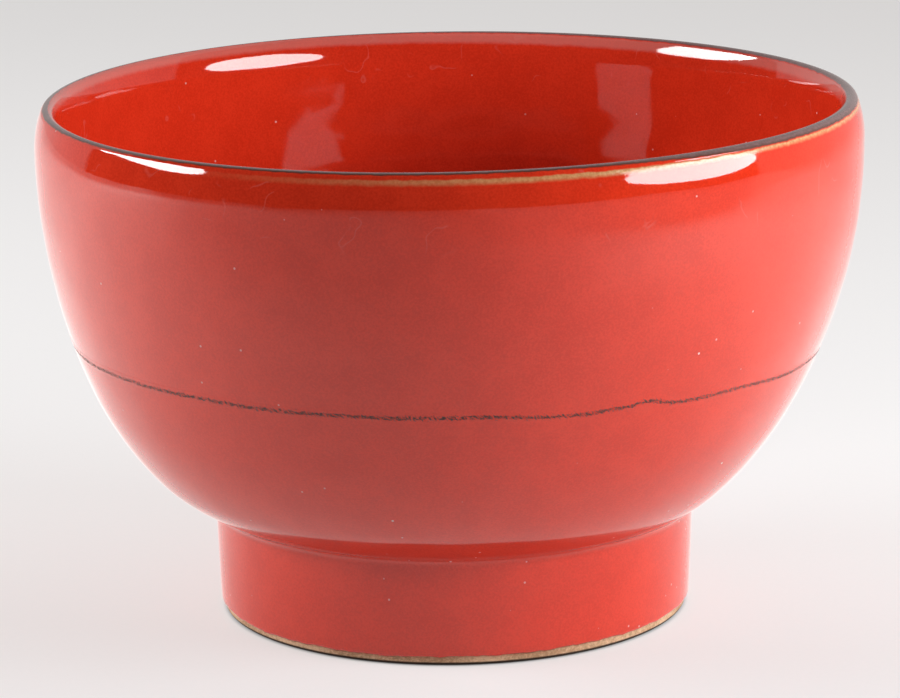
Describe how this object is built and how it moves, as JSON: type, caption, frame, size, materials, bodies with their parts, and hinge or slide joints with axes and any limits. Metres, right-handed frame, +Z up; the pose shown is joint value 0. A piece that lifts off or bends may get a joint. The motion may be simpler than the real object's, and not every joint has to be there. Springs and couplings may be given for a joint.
{
  "type": "footed bowl",
  "caption": "Round footed stoneware bowl with a rounded belly, a curled-in lip, a straight foot ring, glossy red glaze and a dark drawn line round the belly.",
  "frame": {"origin": "middle of the circle that the foot stands on", "axes": "+Z up along the axis that the bowl was thrown on; X and Y are alike"},
  "size_m": [0.15, 0.15, 0.0945],
  "materials": {
    "stoneware": "bare fired buff stoneware, matt and slightly gritty",
    "joining_slip": "fired slip of the same clay, matt",
    "red_glaze": "glossy orange-red glaze, faintly mottled, with fine specks and pinholes",
    "lip_break": "the same glaze broken thin over the lip, grey-brown with an ochre outer edge",
    "oxide_line": "dark brown oxide line, grainy as if drawn with a crayon"
  },
  "bodies": {
    "root": {"bowl_wall": "stoneware", "foot_ring": "stoneware", "slip_joint": "joining_slip", "outer_glaze": "red_glaze", "inner_glaze": "red_glaze", "lip_glaze": "lip_break", "recess_glaze": "red_glaze", "drawn_line": "oxide_line"}
  },
  "joints": []
}
